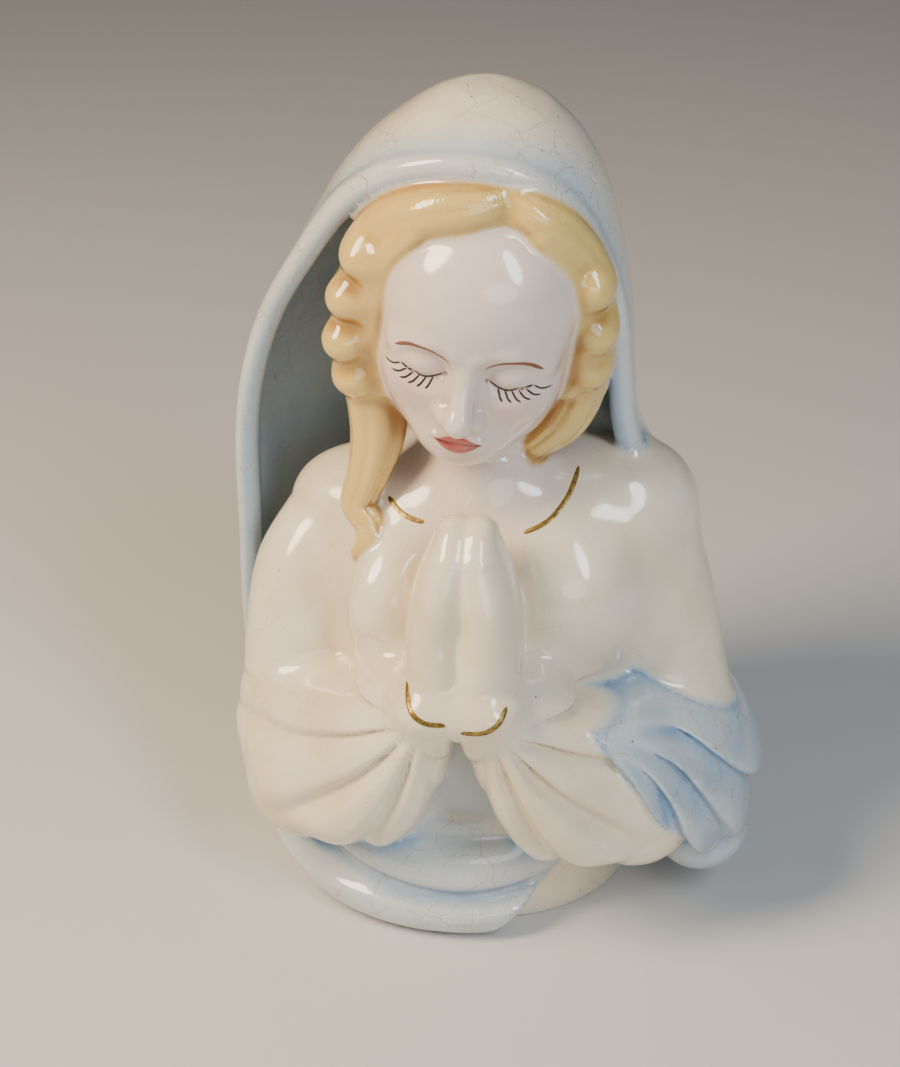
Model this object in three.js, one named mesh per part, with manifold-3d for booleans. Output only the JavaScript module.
// Praying madonna bust: a slip-cast, glazed ceramic figure, built from the clay castings that are luted
// together before it is fired. Millimetres, +Z up. The origin is a point of the flat foot, near its middle.
// The figure faces -Y, so its right side is at -X and its left side at +X.
import * as THREE from "three";
import { ParametricGeometry } from "three/addons/geometries/ParametricGeometry.js";
import { mergeVertices } from "three/addons/utils/BufferGeometryUtils.js";
import Module from "manifold-3d";

const wasm = await Module();
wasm.setup();

// ---- driving dimensions ----
const HEIGHT = 240; // foot to the top of the hood
const WALL = 5; // wall of the hollow castings
const SEAM = 0.3; // room for the slip between two castings
const FOOT_THICKNESS = 4;
const VENT_RADIUS = 9; // firing vent through the foot plate
const VENT_Y = 24;
const THROAT_RADIUS = 9; // air way from the body into the head
const LINE_WIDTH = 1.4; // gold lines at the collar and the cuffs
const LINE_HEIGHT = 0.6;

const MIDDLE = 3; // the palms meet at this x
const HEAD_CENTRE = new THREE.Vector3(3, -15, 179);
const HEAD_RADII = new THREE.Vector3(26, 30, 36);
const HEAD_BOW = THREE.MathUtils.degToRad(14); // forward
const HEAD_LEAN = THREE.MathUtils.degToRad(7); // to the figure's left

const ARMS = {
  right: { sign: -1, shoulder: [-40, 0, 111], elbow: [-47, -14, 53], wrist: [MIDDLE - 9, -59, 80] },
  left: { sign: 1, shoulder: [44, 0, 114], elbow: [57, -10, 54], wrist: [MIDDLE + 9, -59, 80] },
};

function ceramic(color, roughness) {
  return new THREE.MeshStandardMaterial({ color, roughness, metalness: 0 });
}

const WHITE = ceramic(0xe9e4d6, 0.12);
const BLUE = ceramic(0xb4c8dc, 0.12);
const SKIN = ceramic(0xe6dcd2, 0.12);
const HAIR = ceramic(0xdcc07a, 0.15);
const BISQUE = ceramic(0xe2d8c4, 0.9);
const GOLD = new THREE.MeshStandardMaterial({ color: 0xa98a4a, roughness: 0.35, metalness: 0.8 });

// ---- solids ----

// A closed three.js geometry as a manifold-3d solid.
function solid(geometry) {
  const bare = geometry.clone();
  bare.deleteAttribute("normal");
  bare.deleteAttribute("uv");
  const merged = mergeVertices(bare, 1e-3);
  const corners = merged.index.array;
  const kept = [];
  for (let i = 0; i < corners.length; i += 3) {
    const [a, b, c] = corners.subarray(i, i + 3);
    if (a !== b && b !== c && c !== a) kept.push(a, b, c); // the poles of a loft leave flat triangles
  }
  const vertProperties = merged.attributes.position.array;
  return new wasm.Manifold(new wasm.Mesh({ numProp: 3, vertProperties, triVerts: new Uint32Array(kept) }));
}

const joined = (solids) => solids.reduce((whole, next) => whole.add(next));
const cut = (body, cutters) => cutters.reduce((left, cutter) => left.subtract(cutter), body);

// The main body of a solid, without the crumbs that a cut leaves behind.
const main = (body) => body.decompose().sort((a, b) => b.volume() - a.volume())[0];

function surface(body) {
  const mesh = body.getMesh();
  const points = new Float32Array(mesh.numVert * 3);
  for (let i = 0; i < mesh.numVert; i++) {
    points.set(mesh.vertProperties.subarray(i * mesh.numProp, i * mesh.numProp + 3), i * 3);
  }
  const geometry = new THREE.BufferGeometry();
  geometry.setAttribute("position", new THREE.BufferAttribute(points, 3));
  return geometry.setIndex(new THREE.BufferAttribute(mesh.triVerts, 1));
}

// A named mesh. Its close vertices are merged, and a sliver that this sets free is dropped too.
function casting(name, body, material) {
  const geometry = surface(main(solid(surface(main(body)))));
  geometry.computeVertexNormals();
  const made = new THREE.Mesh(geometry, material);
  made.name = name;
  return made;
}

// A ring is [height, x, y, left, right, front, back]: its middle, and its reach each way. Between the rings
// each value follows a Catmull-Rom curve, and share runs from 0 at the first ring to 1 at the last.
function ringAt(rings, share) {
  const at = share * (rings.length - 1);
  const below = Math.min(Math.floor(at), rings.length - 2);
  const t = at - below;
  const near = [-1, 0, 1, 2].map((k) => rings[THREE.MathUtils.clamp(below + k, 0, rings.length - 1)]);
  return rings[0].map((_, i) => {
    const [p0, p1, p2, p3] = near.map((ring) => ring[i]);
    const bend = (2 * p0 - 5 * p1 + 4 * p2 - p3) * t * t + (3 * p1 - p0 - 3 * p2 + p3) * t * t * t;
    return p1 + 0.5 * ((p2 - p0) * t + bend);
  });
}

// A closed body through the rings. Grow moves its whole surface out, and folds adds to its reach by angle and
// share. The angle is 0 at +X and a quarter turn at +Y.
function loft(rings, { steps = 16, sides = 28, grow = 0, folds = () => 0 } = {}) {
  const rows = steps + 2; // the first and the last row shrink to a point, which closes the ends
  const place = (u, v, point) => {
    const row = Math.round(v * rows);
    const share = THREE.MathUtils.clamp((row - 1) / steps, 0, 1);
    const angle = 2 * Math.PI * u;
    const [z, x, y, left, right, front, back] = ringAt(rings, share);
    const open = row === 0 || row === rows ? 0 : 1;
    const lift = row <= 1 ? -grow : row > steps ? grow : 0;
    const [c, s] = [Math.cos(angle), Math.sin(angle)];
    const more = grow + folds(angle, share);
    const reachX = Math.max((c > 0 ? right : left) + more, 0.5);
    const reachY = Math.max((s > 0 ? back : front) + more, 0.5);
    point.set(x + open * reachX * c, y + open * reachY * s, z + lift);
  };
  return new ParametricGeometry(place, sides, rows);
}

// Turns a geometry that was built along +Z so that it runs from one place to another, with its -Y side down.
function along(geometry, from, to) {
  const start = new THREE.Vector3(...from);
  const axis = new THREE.Vector3(...to).sub(start).normalize();
  const side = new THREE.Vector3(0, 0, 1).cross(axis).normalize();
  const up = axis.clone().cross(side);
  return geometry.applyMatrix4(new THREE.Matrix4().makeBasis(side, up, axis).setPosition(start));
}

const distance = (from, to) => new THREE.Vector3(...from).distanceTo(new THREE.Vector3(...to));

function ellipsoid(centre, radii, grow = 0, turn = new THREE.Euler(), detail = [16, 10]) {
  const ball = new THREE.SphereGeometry(1, ...detail).rotateX(Math.PI / 2);
  const size = new THREE.Vector3(...radii).addScalar(grow);
  const spin = new THREE.Quaternion().setFromEuler(turn);
  return solid(ball.applyMatrix4(new THREE.Matrix4().compose(new THREE.Vector3(...centre), spin, size)));
}

// A round lock of hair along a smooth curve, thinning to its end.
function lock(points, radius, end, grow = 0, steps = 12, sides = 10) {
  const curve = new THREE.CatmullRomCurve3(points.map((p) => new THREE.Vector3(...p)));
  const frames = curve.computeFrenetFrames(steps, false);
  const rows = steps + 2;
  const place = (u, v, point) => {
    const row = Math.round(v * rows);
    const step = THREE.MathUtils.clamp(row - 1, 0, steps);
    const open = row === 0 || row === rows ? 0 : 1;
    const reach = open * (THREE.MathUtils.lerp(radius, end, step / steps) + grow);
    const angle = 2 * Math.PI * u;
    point.copy(curve.getPointAt(step / steps));
    point.addScaledVector(frames.normals[step], reach * Math.cos(angle));
    point.addScaledVector(frames.binormals[step], reach * Math.sin(angle));
  };
  return solid(new ParametricGeometry(place, sides, rows));
}

function cylinder(radius, from, to, x, y) {
  const rod = new THREE.CylinderGeometry(radius, radius, to - from, 24);
  return solid(rod.rotateX(Math.PI / 2).translate(x, y, (from + to) / 2));
}

// A prism that stands on an outline of [x, z] points and runs from y = back to the front.
function prism(outline, back = 0, depth = 150) {
  const shape = new THREE.Shape(outline.map(([x, z]) => new THREE.Vector2(x, z)));
  const block = new THREE.ExtrudeGeometry(shape, { depth, bevelEnabled: false });
  return solid(block.rotateX(Math.PI / 2).translate(0, back, 0));
}

// ---- gown: the hollow casting of the body, open below, and the plate that closes it ----
const GOWN = [
  [0, -2, 0, 49, 51, 45, 49],
  [20, -2, 0, 55, 53, 46, 50],
  [45, -1, 0, 55, 52, 43, 50],
  [70, 0, 0, 52, 51, 39, 50],
  [92, 0, 0, 48, 52, 35, 49],
  [108, 0, 0, 45, 54, 32, 46],
  [120, 1, 0, 40, 51, 28, 41],
  [129, 2, 0, 30, 41, 23, 35],
  [136, 3, 1, 18, 24, 18, 26],
];
const BUST = [
  { centre: [-20, -19, 98], radii: [23, 21, 23] },
  { centre: [25, -19, 98], radii: [23, 21, 23] },
];

function gown(grow = 0) {
  const bust = BUST.map(({ centre, radii }) => ellipsoid(centre, radii, grow));
  return joined([solid(loft(GOWN, { steps: 12, sides: 24, grow })), ...bust]);
}

function hollow() {
  const inside = GOWN.map(([z, ...ring], i) => [i ? z - WALL : -3 * WALL, ...ring]);
  return solid(loft(inside, { steps: 12, sides: 24, grow: -WALL }));
}

function gownShell() {
  return cut(gown(), [hollow(), throat()]);
}

function footPlate() {
  const fit = ([, x, y, ...reach]) => [x, y, ...reach.map((r) => r - WALL - 2 * SEAM)];
  const plate = [[0, ...fit(GOWN[0])], [FOOT_THICKNESS, ...fit(GOWN[0])]];
  const vent = cylinder(VENT_RADIUS, -WALL, FOOT_THICKNESS + WALL, 0, VENT_Y);
  return cut(solid(loft(plate, { steps: 1, sides: 24 })), [vent]);
}

// ---- veil and mantle: one open shell, from the hood down the back to the floor ----
const VEIL = [
  [0, -2, 3, 54, 55, 50, 51],
  [14, -2, 3, 62, 59, 50, 53],
  [32, -2, 3, 67, 60, 50, 53],
  [65, -1, 4, 71, 60, 50, 53],
  [100, 0, 4, 72, 59, 50, 53],
  [125, 0, 4, 71, 53, 48, 52],
  [143, 0, 4, 69, 44, 46, 51],
  [160, 0, 4, 65, 42, 46, 50],
  [176, 0, 3, 59, 41, 46, 47],
  [191, 0, 1, 51, 40, 45, 43],
  [205, 1, -1, 44, 37, 43, 40],
  [216, 1, -2, 37, 33, 40, 36],
  [226, 1, -2, 29, 27, 34, 30],
  [234, 1, -1, 19, 19, 24, 21],
  [238.5, 1, 0, 9, 9, 13, 11],
  [HEIGHT, 1, 0, 0.5, 0.5, 0.5, 0.5],
];
// The free edge of the veil as [y, z], from the floor up to the brim over the forehead.
const VEIL_EDGE = [
  [-8, -10],
  [-3, 20],
  [0, 60],
  [0, 120],
  [-3, 155],
  [-8, 180],
  [-16, 200],
  [-23, 214],
  [-30, 224],
];
const VEIL_TURN = THREE.MathUtils.degToRad(-4); // its edge lies further forward on the figure's left

// Soft vertical folds, on the back only, that die out towards the hood.
const veilFolds = (angle, share) => {
  const behind = Math.max(Math.sin(angle), 0);
  return 1.6 * behind * (1 - share) * Math.cos(9 * angle);
};

// The space in front of the free edge. Grow keeps it that far clear of the edge.
function veilOpening(grow) {
  const edge = new THREE.SplineCurve(VEIL_EDGE.map(([y, z]) => new THREE.Vector2(y, z))).getPoints(20);
  const [floor, brim] = [edge[0], edge.at(-1)];
  const front = -2 * HEAD_RADII.z;
  const outline = [...edge, new THREE.Vector2(front, brim.y), new THREE.Vector2(front, floor.y)];
  const cutter = new THREE.ExtrudeGeometry(new THREE.Shape(outline), { depth: HEIGHT, bevelEnabled: false });
  // The outline's own axes become Y and Z, and its depth X.
  const axes = new THREE.Matrix4().makeBasis(
    new THREE.Vector3(0, 1, 0),
    new THREE.Vector3(0, 0, 1),
    new THREE.Vector3(1, 0, 0),
  );
  return solid(cutter.applyMatrix4(axes).translate(-HEIGHT / 2, -2 * grow, 0).rotateZ(VEIL_TURN));
}

function veil(grow = 0) {
  const inside = VEIL.map(([z, ...ring], i) => [i ? z - WALL / 2 : -3 * WALL, ...ring]);
  const options = { steps: 16, sides: 32, folds: veilFolds };
  const outer = solid(loft(VEIL, { ...options, grow }));
  const inner = solid(loft(inside, { ...options, grow: -WALL - grow }));
  return cut(outer, [inner, veilOpening(grow), body, skull(SEAM)]);
}

// ---- head and neck ----
const HEAD_TURN = new THREE.Euler(HEAD_BOW, HEAD_LEAN, 0, "YXZ");

// A place on the head, in shares of its radii.
function onHead(x, y, z) {
  return new THREE.Vector3(x, y, z).multiply(HEAD_RADII).applyEuler(HEAD_TURN).add(HEAD_CENTRE).toArray();
}

function skull(grow = 0) {
  return ellipsoid(HEAD_CENTRE.toArray(), HEAD_RADII.toArray(), grow, HEAD_TURN, [24, 16]);
}

function head(grow = 0) {
  const jaw = ellipsoid(onHead(0, -0.5, -0.52), [20, 17, 18], grow, HEAD_TURN);
  const chin = ellipsoid(onHead(0, -0.74, -0.82), [9, 8, 8], grow, HEAD_TURN);
  const nose = ellipsoid(onHead(0, -1.02, -0.2), [3.6, 6, 9], grow, HEAD_TURN, [10, 8]);
  return joined([skull(grow), jaw, chin, nose]);
}

// The way for air between the three hollows.
function throat() {
  return cylinder(THROAT_RADIUS, GOWN.at(-1)[0] - 4 * WALL, HEAD_CENTRE.z - 5 * WALL, MIDDLE, -2);
}

function headShell() {
  return cut(head(), [skull(-WALL), throat()]);
}

function neck(grow = 0) {
  const rings = [
    [120, MIDDLE, -2, 22, 22, 18, 18],
    [138, MIDDLE, -3, 17, 17, 15, 17],
    [156, MIDDLE, -4, 16, 16, 14, 17],
  ];
  return solid(loft(rings, { steps: 4, sides: 20, grow }));
}

// ---- hair: a roll from the parting down to the ear, rounded waves below it, and a long lock ----
const ROLL_RADIUS = 7;
// The rolls and waves are placed in radii of the head.
const ROLL = [[0.08, -0.56, 0.88], [0.45, -0.62, 0.8], [0.85, -0.56, 0.52], [1.06, -0.46, 0.15]];
const WAVES = [[1.16, -0.42, 0.4], [1.22, -0.38, 0.12], [1.22, -0.38, -0.16], [1.16, -0.38, -0.44]];
const WAVE_RADII = [8, 9, 7.5];
const CROWN_DEPTH = 5; // hair over the skull, under the hood
const LOCKS = {
  right: {
    radius: 7.5,
    end: 3,
    points: [[-31, -20, 166], [-31, -22, 150], [-30, -24, 136], [-27, -31, 122], [-30, -38, 112]],
  },
  left: {
    radius: 7.5,
    end: 4,
    points: [[35, -20, 168], [37, -18, 156], [34, -16, 146], [29, -15, 137]],
  },
};

function hairWaves({ sign }, grow = 0) {
  const roll = lock(ROLL.map(([x, y, z]) => onHead(x * sign, y, z)), ROLL_RADIUS, ROLL_RADIUS, grow);
  const places = WAVES.map(([x, y, z]) => onHead(x * sign, y, z));
  const waves = places.map((place) => ellipsoid(place, WAVE_RADII, grow, HEAD_TURN, [12, 8]));
  return joined([roll, ...waves]);
}

// The hair on top, behind the rolls.
function crown() {
  const size = HEAD_RADII.clone().addScalar(CROWN_DEPTH);
  const scalp = new THREE.BoxGeometry(4 * size.x, 2 * size.y, 2 * size.z);
  scalp.translate(0, size.y - 0.4 * HEAD_RADII.y, size.z + 0.1 * HEAD_RADII.z);
  const turn = new THREE.Matrix4().makeRotationFromEuler(HEAD_TURN).setPosition(HEAD_CENTRE);
  const hair = ellipsoid(HEAD_CENTRE.toArray(), size.toArray(), 0, HEAD_TURN, [24, 16]);
  return hair.intersect(solid(scalp.applyMatrix4(turn)));
}

function longLock(side, grow = 0) {
  const { points, radius, end } = LOCKS[side];
  return lock(points, radius, end, grow);
}

// ---- arms: gathered sleeves, and hands palm to palm ----
const sleeveFolds = (angle, share) => 1.2 * Math.cos(5 * angle + 4 * share) * Math.sin(Math.PI * share);

function upperSleeve({ shoulder, elbow }, grow = 0) {
  const length = distance(shoulder, elbow);
  const rings = [
    [-13, 0, 0, 7, 7, 7, 7],
    [-7, 0, 0, 12, 12, 12, 12],
    [length * 0.2, 0, 0, 15, 15, 15, 15],
    [length * 0.6, 0, 0, 16, 16, 16, 16],
    [length, 0, 0, 18, 18, 18, 18],
    [length + 10, 0, 0, 12, 12, 12, 12],
  ];
  return solid(along(loft(rings, { steps: 9, sides: 18, grow }), shoulder, elbow));
}

function lowerSleeve({ elbow, wrist }, grow = 0) {
  const length = distance(elbow, wrist);
  const rings = [
    [-18, 0, 0, 7, 7, 9, 8],
    [-12, 0, 0, 14, 14, 20, 14],
    [0, 0, 0, 19, 19, 31, 18],
    [length * 0.3, 0, 0, 20, 20, 35, 17],
    [length * 0.6, 0, 0, 18, 18, 31, 15],
    [length * 0.85, 0, 0, 14, 14, 20, 13],
    [length, 0, 0, 12, 12, 12, 11],
    [length + 4, 0, 0, 9, 9, 8, 9],
  ];
  return solid(along(loft(rings, { steps: 14, sides: 24, grow, folds: sleeveFolds }), elbow, wrist));
}

function hand({ sign, wrist: [, y, z] }, grow = 0) {
  const palm = MIDDLE + sign; // the palm side is cut flat, and the back of the hand is full
  const reach = (full) => (sign < 0 ? [full, 1.5] : [1.5, full]);
  const rings = [
    [z - 2, palm, y, ...reach(10), 11, 11],
    [z + 9, palm, y + 1, ...reach(12.5), 13, 13],
    [z + 20, palm, y + 2, ...reach(14), 14, 14],
    [z + 34, palm, y + 4, ...reach(13), 13, 13],
    [z + 47, palm, y + 5, ...reach(11), 12, 12],
    [z + 54, palm, y + 6, ...reach(8), 9, 9],
    [z + 57, palm, y + 6, ...reach(3), 4, 4],
  ];
  const whole = solid(loft(rings, { steps: 12, sides: 16, grow }));
  const [inner, outer] = [MIDDLE + sign * (SEAM / 2), sign * HEIGHT];
  const ownSide = prism([[inner, 0], [outer, 0], [outer, HEIGHT], [inner, HEIGHT]]);
  return grow ? whole : whole.intersect(ownSide);
}

// The end of the mantle, laid over the left elbow.
function armDrape() {
  const rings = [
    [6, 66, -14, 11, 10, 12, 12],
    [14, 65, -15, 20, 18, 22, 18],
    [32, 64, -15, 25, 23, 27, 22],
    [50, 63, -14, 27, 21, 30, 21],
    [64, 58, -15, 24, 15, 32, 18],
    [76, 52, -18, 16, 9, 28, 12],
    [82, 48, -20, 7, 5, 12, 6],
  ];
  const folds = (angle, share) => 1.8 * Math.cos(7 * angle - 5 * share) * Math.sin(Math.PI * share);
  return solid(loft(rings, { steps: 12, sides: 30, folds }));
}

// ---- mantle front: the mantle's folds across the foot, from the right elbow down to the left ----
function mantleFront() {
  const rings = [
    [0, -3, 0, 51, 49, 51, 20],
    [10, -3, 0, 60, 52, 57, 20],
    [24, -3, 0, 63, 52, 54, 20],
    [38, -3, 0, 63, 51, 46, 20],
    [50, -3, 0, 59, 50, 38, 20],
  ];
  const folds = (angle, share) => 1.6 * Math.cos(2 * angle + 14 * share);
  // The gown shows on the figure's left.
  const bare = prism([[12, -1], [30, 20], [52, 60], [HEIGHT, 60], [HEIGHT, -1]]);
  const behind = prism([[-HEIGHT, -1], [-HEIGHT, HEIGHT], [HEIGHT, HEIGHT], [HEIGHT, -1]], HEIGHT, HEIGHT);
  return cut(solid(loft(rings, { steps: 12, sides: 40, folds })), [bare, behind]);
}

// ---- gold lines: thin raised strips on the gown and on the cuffs ----
const COLLAR_LINES = {
  right: [[-21, 126], [-15, 122], [-7, 121]],
  left: [[31, 134], [26, 126], [16, 121]],
};
const CUFF_LINES = {
  right: [[-12, 90], [-7, 85], [MIDDLE - 1, 84]],
  left: [[18, 90], [13, 85], [MIDDLE + 1, 84]],
};

function strip(points, skin, back) {
  const curve = new THREE.SplineCurve(points.map(([x, z]) => new THREE.Vector2(x, z)));
  const shares = Array.from({ length: 7 }, (_, i) => i / 6);
  const edge = (offset) =>
    shares.map((t) => {
      const [at, way] = [curve.getPointAt(t), curve.getTangentAt(t)];
      return [at.x - way.y * offset, at.y + way.x * offset];
    });
  const ribbon = prism([...edge(-LINE_WIDTH / 2), ...edge(LINE_WIDTH / 2).reverse()], back);
  return cut(skin(SEAM + LINE_HEIGHT), [skin(SEAM)]).intersect(ribbon);
}

// ---- assembly: each casting is cut clear of the ones that are listed before it ----
const body = gown(SEAM);
const shell = veil(SEAM);
const face = head(SEAM);
const { right, left } = ARMS;
const hands = [hand(right, SEAM), hand(left, SEAM)];
const forearms = { right: lowerSleeve(right, SEAM), left: lowerSleeve(left, SEAM) };
const upperArms = { right: upperSleeve(right, SEAM), left: upperSleeve(left, SEAM) };
const sleeves = [forearms.right, forearms.left, upperArms.right, upperArms.left];

const madonna = new THREE.Group();
madonna.add(casting("gown_shell", gownShell(), WHITE));
madonna.add(casting("foot_plate", footPlate(), BISQUE));
madonna.add(casting("veil_mantle_shell", veil(), BLUE));
madonna.add(casting("head", headShell(), SKIN));
madonna.add(casting("neck", cut(neck(), [body, face, throat()]), SKIN));

const waves = { right: hairWaves(right, SEAM), left: hairWaves(left, SEAM) };
madonna.add(casting("crown_hair", cut(crown(), [shell, face, waves.right, waves.left]), HAIR));

for (const [side, arm] of Object.entries(ARMS)) {
  const first = side === "right"; // where the two sides meet, the left one gives way
  madonna.add(casting(`${side}_hand`, cut(hand(arm), [body]), SKIN));
  const cuff = cut(lowerSleeve(arm), [body, shell, ...hands, ...(first ? [] : [forearms.right])]);
  madonna.add(casting(`${side}_lower_sleeve`, cuff, WHITE));
  madonna.add(casting(`${side}_upper_sleeve`, cut(upperSleeve(arm), [body, shell, forearms[side]]), WHITE));

  const around = [body, shell, face];
  const curls = cut(hairWaves(arm), [...around, ...(first ? [] : [waves.right])]);
  madonna.add(casting(`${side}_hair_waves`, curls, HAIR));
  const tress = cut(longLock(side), [...around, neck(SEAM), waves[side], upperArms[side]]);
  madonna.add(casting(`${side}_long_lock`, tress, HAIR));

  const beside = [face, longLock(side, SEAM), ...hands, upperArms[side]];
  const collar = cut(strip(COLLAR_LINES[side], gown, 0), beside);
  madonna.add(casting(`${side}_collar_line`, collar, GOLD));
  const cuffSurface = (grow) => lowerSleeve(arm, grow);
  const other = first ? forearms.left : forearms.right;
  const cuffLine = cut(strip(CUFF_LINES[side], cuffSurface, arm.wrist[1]), [...hands, other]);
  madonna.add(casting(`${side}_cuff_line`, cuffLine, GOLD));
}

madonna.add(casting("left_arm_drape", cut(armDrape(), [body, shell, ...sleeves, ...hands]), BLUE));
madonna.add(casting("mantle_front", cut(mantleFront(), [body, shell, ...sleeves]), BLUE));

export default madonna;
